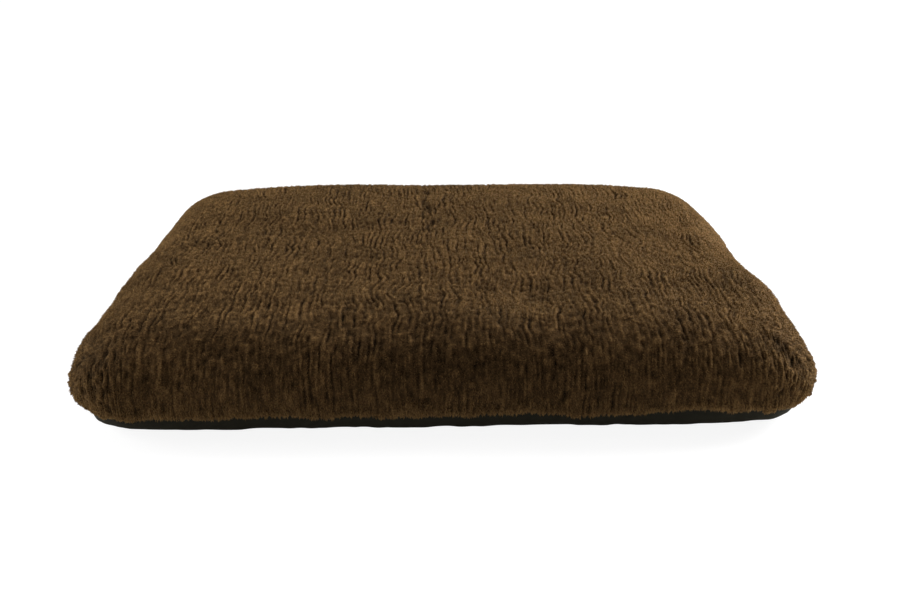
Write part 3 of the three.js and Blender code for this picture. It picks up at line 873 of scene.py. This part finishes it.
thread_material, thread_shader = plain_material("thread", (0.030, 0.031, 0.022), 0.6)
tree = thread_material.node_tree
place = add_node(tree, "ShaderNodeTexCoord")
twist = add_node(
    tree, "ShaderNodeTexWave", Scale=900, Distortion=1.5, wave_type="BANDS", bands_direction="DIAGONAL"
)
twist_colour = add_node(tree, "ShaderNodeValToRGB")
twist_colour.color_ramp.elements[0].color = (0.018, 0.019, 0.013, 1)
twist_colour.color_ramp.elements[1].color = (0.055, 0.056, 0.042, 1)
bump = add_node(tree, "ShaderNodeBump", Strength=0.5, Distance=0.0001)
join(tree, place, "Object", twist, "Vector", twist, "Fac", twist_colour, "Fac",
     twist_colour, "Color", thread_shader, "Base Color", twist, "Fac", bump, "Height",
     bump, "Normal", thread_shader, "Normal")


def stitch_line(start, end, face):
    """Middles and directions of the stitches from one point to another, on an upright face at the given y."""
    start, end = np.array(start), np.array(end)
    whole = np.linalg.norm(end - start)
    along = (end - start) / whole
    middles = np.arange(STITCH_PITCH / 2, whole, STITCH_PITCH)[:, None] * along + start
    return [(x, face, z, along[0], along[1]) for x, z in middles]


def stitches(name, spots):
    """One piece of all these stitches: each a short, plump length of thread with its ends in the cloth."""
    shares = np.linspace(-1, 1, THREAD_RINGS)
    sides_of = np.arange(THREAD_SIDES) * 2 * math.pi / THREAD_SIDES
    points = []
    for x, y, z, dx, dz in spots:
        for share in shares:
            rise = THREAD_RADIUS * (0.9 * (1 - share ** 2) - 0.35)
            thin = THREAD_RADIUS * (0.45 + 0.55 * (1 - abs(share) ** 3))
            for a in sides_of:
                across = thin * math.cos(a)
                points.append((
                    x + dx * share * STITCH_LENGTH / 2 - dz * across, y + rise + thin * math.sin(a),
                    z + dz * share * STITCH_LENGTH / 2 + dx * across,
                ))
    firsts = np.arange(len(spots))[:, None] * THREAD_RINGS * THREAD_SIDES
    here, beside = tube_sides(THREAD_RINGS, THREAD_SIDES)
    quads = np.stack([here, here + THREAD_SIDES, beside + THREAD_SIDES, beside], axis=-1).reshape(-1, 4)
    faces = (firsts[:, None] + quads[None]).reshape(-1, 4)
    cap, last_ring = np.arange(THREAD_SIDES)[None], (THREAD_RINGS - 1) * THREAD_SIDES
    caps = np.concatenate([firsts + cap, firsts + last_ring + cap[:, ::-1]])
    piece = new_piece(name, np.array(points), [faces, caps], thread_material)
    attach(piece, "cushion")


sill_line = WINDOW_SILL - STITCH_MARGIN
side_line = WINDOW_HALF + STITCH_MARGIN
window_spots = stitch_line((-side_line, sill_line), (side_line, sill_line), base_high[1])
for side in (-1, 1):
    window_spots += stitch_line((side * side_line, sill_line), (side * side_line, STITCH_TOP), base_high[1])
stitches("window_stitches", window_spots)

tab_spots = []
for node in ("zip_end_tab_left", "zip_end_tab_right"):
    low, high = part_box(node)
    left, right = low[0] + TAB_MARGIN, high[0] - TAB_MARGIN
    bottom, top = low[2] + TAB_MARGIN, high[2] - TAB_MARGIN
    tab_spots += stitch_line((left, bottom), (right, bottom), high[1])
    tab_spots += stitch_line((right, bottom), (right, top), high[1])
    tab_spots += stitch_line((left, bottom), (left, top), high[1])
stitches("tab_stitches", tab_spots)

# ---------------- care label
# A blank, off-white polyester satin ribbon, cut hot and folded in two. Both its ends are caught in the
# seam beside the zip, and the fold hangs free over the base.

LABEL_LINES = 12
LABEL_ROWS = 14
LABEL_WIDTH = 0.024
LABEL_THREADS = 3000.0
RIBBON_THICK = 0.00016
LABEL_CURL = 0.0012

label_low, label_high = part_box("care_label")
label_drop = label_high[2] - label_low[2]
label_depth = label_high[1] - label_low[1] - RIBBON_THICK
fold_turn = np.linspace(0, math.pi, 9)
back_y, front_y = label_low[1] + RIBBON_THICK / 2, label_high[1] - RIBBON_THICK / 2
fold_z = label_low[2] + label_depth / 2 + RIBBON_THICK
strip_y = np.concatenate([
    np.full(LABEL_ROWS, back_y), (back_y + front_y) / 2 - label_depth / 2 * np.cos(fold_turn[1:-1]),
    np.full(LABEL_ROWS, front_y),
])
strip_z = np.concatenate([
    np.linspace(label_high[2], fold_z, LABEL_ROWS), fold_z - label_depth / 2 * np.sin(fold_turn[1:-1]),
    np.linspace(fold_z, label_high[2], LABEL_ROWS),
])
label_x = np.linspace(label_low[0], label_high[0], LABEL_LINES)
strip = np.stack(np.broadcast_arrays(label_x[:, None], strip_y[None], strip_z[None]), axis=-1).copy()
hung = (label_high[2] - strip[..., 2]) / label_drop
twisted = 1 + 0.5 * np.cos((strip[..., 0] - label_low[0]) * math.pi / LABEL_WIDTH)
strip[..., 1] += LABEL_CURL * hung ** 2 * twisted
label_material, label_shader = plain_material("care_label", (0.70, 0.69, 0.66), 0.4)
woven_finish(
    label_material, label_shader, LABEL_THREADS, pale=(0.60, 0.59, 0.56), dark=(0.46, 0.45, 0.43),
    slub=0.2, depth=0.0001, sheen=0.1,
)
label_shader.inputs["Anisotropic"].default_value = 0.5
label = new_piece("label", strip, [grid_quads(*strip.shape[:2])], label_material)
thicken(label, RIBBON_THICK, offset=0)
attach(label, "cushion")
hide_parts("care_label")

# ---------------- fleece cover
# Long sheepskin-style pile on a knitted backing, one piece over the top and all four sides, sewn to the base
# along its lower edge. The pile parts in wavy lines from back to front, and was folded in four before the
# bed was filled.

PILE_STANDS = 0.0036
PILE_DEPTH = 0.0156
EDGE_ROUND = 0.0085
FRONT_HANG = 0.0048
FLEECE_GRID = (680, 528)
PARTING_SPACING = 0.0068
SIDE_PARTING_SPACING = 0.0060
TOP_PARTING_LENGTH = 0.056
SIDE_PARTING_LENGTH = 0.028
PARTING_DEPTH = 0.0028
CLUMP_HEIGHT = 0.00045
CORNER_CLUMP_HEIGHT = 0.00025  # more near the corners
FOLD_DEPTH = 0.0044
CROSS_FOLD_DEPTH = 0.0012
UNEVEN_BROAD = 0.0018
UNEVEN_LONG = 0.0009
STRAND_SPACING = 0.0045
STRAND_LENGTH = 0.011

fleece_low, fleece_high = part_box("fleece_cover")
hem_height = fleece_low[2]
fleece_top_height = fleece_high[2] - PILE_STANDS - CROWN
fleece_reach = CORNER - PILE_STANDS
side_outs, side_heights = quarter_round(fleece_reach, fleece_top_height, WIDEST_HEIGHT, SHOULDER_FULLNESS)
curl = np.linspace(0, 0.88 * math.pi, 60)[1:]
curl_outs = fleece_reach - EDGE_ROUND * (1 - np.cos(curl)) * 0.9
curl_heights = WIDEST_HEIGHT - (WIDEST_HEIGHT - hem_height) * np.sin(curl)
fleece_bend, fleece_drop = along_bend(
    np.concatenate([side_outs, curl_outs]), np.concatenate([side_heights, curl_heights])
)
side_length = along_bend(side_outs, side_heights)[1]

fleece_across = np.linspace(-1, 1, FLEECE_GRID[0] + 1) * (core[0] + fleece_drop)
fleece_along = np.linspace(-1, 1, FLEECE_GRID[1] + 1) * (core[1] + fleece_drop)
cloth_step = fleece_across[1] - fleece_across[0]
cloth_shape = (len(fleece_across), len(fleece_along))
S, T = np.meshgrid(fleece_across, fleece_along, indexing="ij")
past_core = np.maximum(np.abs(S) - core[0], np.abs(T) - core[1])
hem_share = ease(side_length - 0.014, side_length + 0.008, past_core)


def cloth_noise(wave_s, wave_t, seed):
    """Smooth random hills over the fleece's cloth, with a spread of 1."""
    return soft_noise(cloth_shape, cloth_step, (wave_s, wave_t), seed)


# The loose front edge hangs over the base. At the back it is held up clear of the zip.
skin = settled(crowned(laid_cloth(fleece_across, fleece_along, fleece_bend)))
y_share = skin[..., 1] / (core[1] + CORNER)
hang = ease(0.60, -0.10, y_share)
hang_wave = cloth_noise(0.11, 0.11, 7)
scallops = cloth_noise(0.024, 0.024, 8)
low_down = ease(hem_height + 0.040, hem_height, skin[..., 2])
skin[..., 2] -= FRONT_HANG * low_down * hang * (1 + 0.22 * hang_wave + 0.38 * scallops)
skin_out = outward(skin)
unevenness = UNEVEN_BROAD * cloth_noise(0.11, 0.11, 3)
unevenness += UNEVEN_LONG * cloth_noise(0.16, 0.045, 4)
skin += skin_out * (unevenness * (1 - hem_share) * (1 - 0.65 * ease(0.12, 0.26, T)))[..., None]


def shifted(field, shift):
    """The field read a little to one side at each point, which bends its lines."""
    rows = np.clip(np.arange(field.shape[0])[:, None] + shift, 0, field.shape[0] - 1.001)
    low = rows.astype(int)
    part = rows - low
    columns = np.arange(field.shape[1])[None, :]
    return field[low, columns] * (1 - part) + field[low + 1, columns] * part


def pile_partings(shape, step, spacing, length, seed):
    """Long hills and valleys from back to front, about this far apart and this long, with a spread of 1."""
    kx = np.abs(np.fft.fftfreq(shape[0], step))[:, None]
    ky = np.fft.fftfreq(shape[1], step)[None, :]
    keep = np.exp(-0.5 * ((kx * spacing - 1) / 0.45) ** 2 - 0.5 * (ky * length * 2) ** 2)
    field = np.fft.ifft2(np.fft.fft2(np.random.default_rng(seed).standard_normal(shape)) * keep).real
    return field / field.std()


on_side = ease(0.0, 0.115, past_core)
on_back_edge = ease(0.01, 0.06, np.where(T > 0, past_core, 0))
near_corner = ease(0, 0.06, np.minimum(np.abs(S) - core[0], np.abs(T) - core[1]))
waves = cloth_noise(0.08, 0.036, 11) * 0.0025
waves += cloth_noise(0.030, 0.014, 12) * 0.0010
waves *= 1 - 0.7 * on_side
top_lines = pile_partings(cloth_shape, cloth_step, PARTING_SPACING, TOP_PARTING_LENGTH, 21)
side_lines = pile_partings(cloth_shape, cloth_step, SIDE_PARTING_SPACING, SIDE_PARTING_LENGTH, 25)
top_lines = shifted(top_lines, waves / cloth_step)
side_lines = shifted(side_lines, waves / cloth_step)
partings = top_lines * (1 - on_side) + side_lines * on_side
strength = 0.68 + 0.32 * np.tanh(cloth_noise(0.06, 0.04, 22))
strength *= 1 + 0.35 * ease(-0.20, 0.25, T) - 0.45 * on_side + 0.25 * hem_share
strength *= 1 - 0.35 * ease(0.0, -0.22, T) * (1 - 0.6 * on_side)
strength *= 1 - 0.75 * near_corner
valley = ease(0.40, 1.8, -partings) * strength
clumps = cloth_noise(0.0055, 0.0075, 23)
pile_height = (0.0005 * np.clip(partings, -0.5, 2) - PARTING_DEPTH * valley) * (1 - 0.5 * on_back_edge)
pile_height += clumps * (CLUMP_HEIGHT + CORNER_CLUMP_HEIGHT * near_corner)

# The marks of the fold are pressed pile, patchy along their length.
wander = cloth_noise(0.05, 0.03, 31) * 0.004
patchy = 0.5 + 0.5 * np.tanh(1.5 * cloth_noise(0.02, 0.025, 32))
fold_back = np.exp(-((S + 0.026 + wander) / 0.0060) ** 2) * ease(-0.06, 0.08, T) * (1 - on_back_edge)
fold_across = np.exp(-((T - 0.006 + 2 * wander) / 0.009) ** 2) * (0.5 + 0.5 * ease(0.05, -0.2, S))
pressed = FOLD_DEPTH * fold_back * patchy + CROSS_FOLD_DEPTH * fold_across * patchy

# Where a corner is eased in, the fleece dimples below the corner's top, more in front than behind.
corner_s = np.abs(S) - core[0]
corner_t = np.abs(T) - core[1]
down_corner = (corner_s + corner_t) / 2
off_line = (corner_s - corner_t) / math.sqrt(2)
eased = np.zeros(cloth_shape)
for side_s, side_t, depth in ((1, -1, 0.0040), (-1, -1, 0.0028), (1, 1, 0.0020), (-1, 1, 0.0020)):
    here = (np.sign(S) == side_s) & (np.sign(T) == side_t)
    dimple = np.exp(-((off_line + 0.010) / 0.010) ** 2 - ((down_corner - 0.062) / 0.024) ** 2)
    dimple += 0.7 * np.exp(-((off_line - 0.016) / 0.008) ** 2 - ((down_corner - 0.085) / 0.022) ** 2)
    eased += np.where(here, depth * dimple * (0.55 + 0.45 * patchy), 0)

fringe = ease(side_length - 0.004, side_length + 0.010, past_core)
# Colour value of the pile, read by the fleece material. It is darker in the partings, partly for the dark
# roots there and partly as painted shade in the grooves. It is darker in the fold marks and the corner
# dimples, as painted shade in these hollows, and paler at the fringe, with an uneven tone from patch to
# patch.
pile_tone_and_painted_light = 0.56 + pile_height / 0.0044 - (pressed + eased) / 0.0080 + 0.50 * fringe
pile_tone_and_painted_light += 0.045 * cloth_noise(0.05, 0.05, 33)

# Painted light: the pile is painted a little darker along the middle, as painted shade, and paler at the
# right rear, as a painted highlight of the light from the right.
pile_tone_and_painted_light -= 0.045 * ease(0.42, 0.15, np.abs(S))
pile_tone_and_painted_light += 0.10 * ease(0.04, 0.32, S) * ease(-0.24, 0.06, T) * (1 - 0.4 * on_side)
pile_height -= pressed + eased
fleece_top = skin + skin_out * pile_height[..., None]

fleece_material, fleece_shader = plain_material("fleece", (0.10, 0.06, 0.03), 0.92)

# Dark at the roots and pale at the tips, by the pile value, which also carries the fleece's painted shade and
# painted light. Uneven from patch to patch, with a soft bloom and fine fibres.
tree = fleece_material.node_tree
depth = add_node(tree, "ShaderNodeAttribute", attribute_name="pile")
ramp = add_node(tree, "ShaderNodeValToRGB")
ramp.color_ramp.elements[0].position = 0.05
ramp.color_ramp.elements[0].color = (0.0115, 0.0063, 0.0030, 1)
ramp.color_ramp.elements[1].position = 1.0
ramp.color_ramp.elements[1].color = (0.225, 0.130, 0.0500, 1)
ramp.color_ramp.elements.new(0.55).color = (0.086, 0.0470, 0.0182, 1)
place = add_node(tree, "ShaderNodeTexCoord")
patches = add_node(tree, "ShaderNodeTexNoise", Scale=14, Detail=3)
fibres = add_node(tree, "ShaderNodeTexNoise", Scale=520, Detail=3)
tone = add_node(tree, "ShaderNodeMapRange", From_Min=0.25, From_Max=0.75, To_Min=0.84, To_Max=1.16)
grain = add_node(tree, "ShaderNodeMapRange", From_Min=0.3, From_Max=0.7, To_Min=0.45, To_Max=1.58)
both = add_node(tree, "ShaderNodeMath", operation="MULTIPLY")
shade = add_node(tree, "ShaderNodeVectorMath", operation="SCALE")
bump = add_node(tree, "ShaderNodeBump", Strength=0.5, Distance=0.0012)
join(tree, place, "Object", patches, "Vector", place, "Object", fibres, "Vector", depth, "Fac", ramp, "Fac",
     patches, "Fac", tone, "Value", fibres, "Fac", grain, "Value", tone, "Result", both, 0,
     grain, "Result", both, 1, ramp, "Color", shade, 0, both, "Value", shade, "Scale",
     shade, "Vector", fleece_shader, "Base Color", fibres, "Fac", bump, "Height",
     bump, "Normal", fleece_shader, "Normal")
for socket, value in (
    ("Sheen Weight", 0.26), ("Sheen Roughness", 0.45), ("Sheen Tint", (0.75, 0.47, 0.17, 1)),
    ("Specular IOR Level", 0.06),
):
    fleece_shader.inputs[socket].default_value = value


def point_value(piece, name, values):
    """Writes one number for each point of a piece, for its material to read."""
    attribute = piece.data.attributes.new(name, "FLOAT", "POINT")
    attribute.data.foreach_set("value", np.ascontiguousarray(values, dtype=np.float32).ravel())


def picture_map(piece, corner_places):
    """Writes where each face corner lies on the piece's flat colour picture, from 0 to 1 each way."""
    layer = piece.data.uv_layers.new(name="OFBake")
    layer.data.foreach_set("uv", np.ascontiguousarray(corner_places, dtype=np.float32).ravel())


# The knitted backing is a coarser sheet of the same cut, a pile's depth inside, joined to the pile all round
# its hem.
COARSE = 4
backing_outs, backing_heights = quarter_round(
    fleece_reach - PILE_DEPTH, fleece_top_height - PILE_DEPTH, hem_height + 0.003, SHOULDER_FULLNESS + 0.3
)
backing_bend, backing_drop = along_bend(backing_outs, backing_heights)
backing = settled(crowned(laid_cloth(
    np.linspace(-1, 1, FLEECE_GRID[0] // COARSE + 1) * (core[0] + backing_drop),
    np.linspace(-1, 1, FLEECE_GRID[1] // COARSE + 1) * (core[1] + backing_drop), backing_bend,
)))
outer_count = S.size
outer_edge = edge_loop(*cloth_shape)
inner_edge = edge_loop(*backing.shape[:2], start=outer_count)
hem_faces = []
for step in range(COARSE):
    this, following = np.roll(outer_edge, -step)[::COARSE], np.roll(outer_edge, -step - 1)[::COARSE]
    hem_faces.append(np.stack([this, inner_edge, following], axis=1))
next_outer = np.roll(outer_edge, -COARSE)[::COARSE]
hem_faces.append(np.stack([inner_edge, np.roll(inner_edge, -1), next_outer], axis=1))
hem_faces = np.concatenate(hem_faces)
outer_faces = grid_quads(*cloth_shape)
inner_faces = grid_quads(*backing.shape[:2], start=outer_count)[:, ::-1]
fleece = new_piece(
    "fleece", np.concatenate([fleece_top.reshape(-1, 3), backing.reshape(-1, 3)]),
    [outer_faces, inner_faces, hem_faces], fleece_material,
)
backing_lit = np.full(backing[..., 0].size, 0.1)
point_value(fleece, "pile", np.concatenate([pile_tone_and_painted_light.clip(0, 0.8).ravel() * 0.86, backing_lit]))
flat_outer = np.stack([(S + S.max()) / (2 * S.max()), (T + T.max()) / (2 * S.max())], axis=-1).reshape(-1, 2)
flat_inner = flat_outer.reshape(*cloth_shape, 2)[::COARSE, ::COARSE].reshape(-1, 2) * 0.26 + (0.01, 0.79)
flat_places = np.concatenate([flat_outer * 0.99 + 0.003, flat_inner])
hem_places = np.stack([0.40 + 0.55 * hem_faces / (outer_count * 1.2), np.full(hem_faces.shape, 0.9)], axis=-1)
picture_map(fleece, np.concatenate([
    flat_places[outer_faces].reshape(-1, 2), flat_places[inner_faces].reshape(-1, 2),
    hem_places.reshape(-1, 2),
]))
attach(fleece, "cushion")
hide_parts("fleece_cover")

# Loose tips of the pile: tapered tufts that lean off the partings and hang at the hem. Fine strands run
# through them, with thinner, darker tufts along their edges.
TUFT_AREA = 3.38e-6
TUFT_LENGTH = 0.0026
HEM_TUFT_LENGTH = 0.0036
TUFT_RADIUS = 0.00076
TUFT_SINK = 0.0012
TUFTS_IN_PIECE = 49000
FINE = 2

fine_shape = (cloth_shape[0] * FINE, cloth_shape[1] * FINE)
strands = pile_partings(fine_shape, cloth_step / FINE, STRAND_SPACING, STRAND_LENGTH, 51)
strands = shifted(strands, np.repeat(np.repeat(waves, FINE, axis=0), FINE, axis=1) * FINE / cloth_step)
strands += 0.6 * soft_noise(fine_shape, cloth_step / FINE, (0.0022, 0.0026), 52)
strands /= strands.std()

dice = np.random.default_rng(5)
edge_s = np.diff(fleece_top, axis=0)[:, :-1]
edge_t = np.diff(fleece_top, axis=1)[:-1]
cell_area = np.linalg.norm(np.cross(edge_s, edge_t), axis=-1)
chance = cell_area / TUFT_AREA * (1 - 0.55 * valley[:-1, :-1].clip(0, 1)) * (1 + 0.5 * hem_share[:-1, :-1])
ci, cj = np.nonzero(dice.random(chance.shape) < chance)
along_s, along_t = dice.random((2, len(ci), 1))
fine_i = (ci * FINE + along_s[:, 0] * FINE).astype(int)
fine_j = (cj * FINE + along_t[:, 0] * FINE).astype(int)
strand = strands[fine_i, fine_j]
kept = dice.random(len(ci)) < 0.30 + 0.70 * ease(-1.2, 0.4, strand)
ci, cj, along_s, along_t, strand = ci[kept], cj[kept], along_s[kept], along_t[kept], strand[kept]
count = len(ci)
outs = skin_out[ci, cj]
roots = fleece_top[ci, cj] + edge_s[ci, cj] * along_s + edge_t[ci, cj] * along_t
uphill_s = np.gradient(pile_height, axis=0)[ci, cj][:, None] / cloth_step
uphill_t = np.gradient(pile_height, axis=1)[ci, cj][:, None] / cloth_step
lean = unit(edge_s[ci, cj]) * (uphill_s * 0.5 + dice.normal(0, 0.25, (count, 1)))
lean += unit(edge_t[ci, cj]) * (uphill_t * 0.5 - 0.45 + dice.normal(0, 0.28, (count, 1)))
hem = hem_share[ci, cj][:, None]
side = on_side[ci, cj][:, None]
lean[:, 2] -= 0.35 * side[:, 0] + 0.5 * hem[:, 0]
heading = unit(outs * (1 - 0.35 * hem) + lean)
length = (TUFT_LENGTH + (HEM_TUFT_LENGTH - TUFT_LENGTH) * hem) * dice.uniform(0.7, 1.25, (count, 1))
length *= (1 - 0.35 * valley[ci, cj][:, None].clip(0, 1)) * (1 + 0.15 * strand[:, None].clip(-2, 2))
length *= 1 - 0.35 * np.maximum(near_corner, on_back_edge)[ci, cj][:, None]
any_way = unit(np.cross(heading, dice.normal(0, 1, (count, 3))))
third = np.cross(heading, any_way)
radius = TUFT_RADIUS * dice.uniform(0.7, 1.3, (count, 1)) * (1 + 0.35 * hem)
base = roots - heading * TUFT_SINK
turns = np.arange(3) * 2 * math.pi / 3
corners = [base + radius * (any_way * math.cos(turn) + third * math.sin(turn)) for turn in turns]
tufts = np.stack([*corners, roots + heading * length], axis=1)
# Each tuft takes the pile value beneath it, with its painted shade and painted light. It is darker where the
# strands thin out, and darker at its root than at its tip.
tuft_lit = pile_tone_and_painted_light[ci, cj] + 0.16 * strand.clip(-2, 2)
lit_root = tuft_lit * 0.72
lit_tip = (tuft_lit + 0.14 + dice.normal(0, 0.17, count)).clip(0, 1)
spread = np.array([[math.cos(turn), math.sin(turn)] for turn in turns] + [[0, 0]])
order = np.argsort(roots[:, 0])
for number, part in enumerate(np.array_split(order, math.ceil(count / TUFTS_IN_PIECE))):
    first = np.arange(len(part))[:, None] * 4
    faces = np.concatenate([first + face for face in ([0, 2, 1], [0, 1, 3], [1, 2, 3], [2, 0, 3])])
    pile = new_piece(f"pile_tips_{number + 1}", tufts[part], [faces], fleece_material)
    values = np.repeat(lit_root[part][:, None], 4, axis=1)
    values[:, 3] = lit_tip[part]
    point_value(pile, "pile", values)
    rows = math.ceil(math.sqrt(len(part)))
    cells = np.stack([np.arange(len(part)) % rows, np.arange(len(part)) // rows], axis=1)[:, None]
    picture_map(pile, ((cells + 0.5 + 0.42 * spread) / rows).reshape(-1, 2)[faces].reshape(-1, 2))
    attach(pile, "cushion")
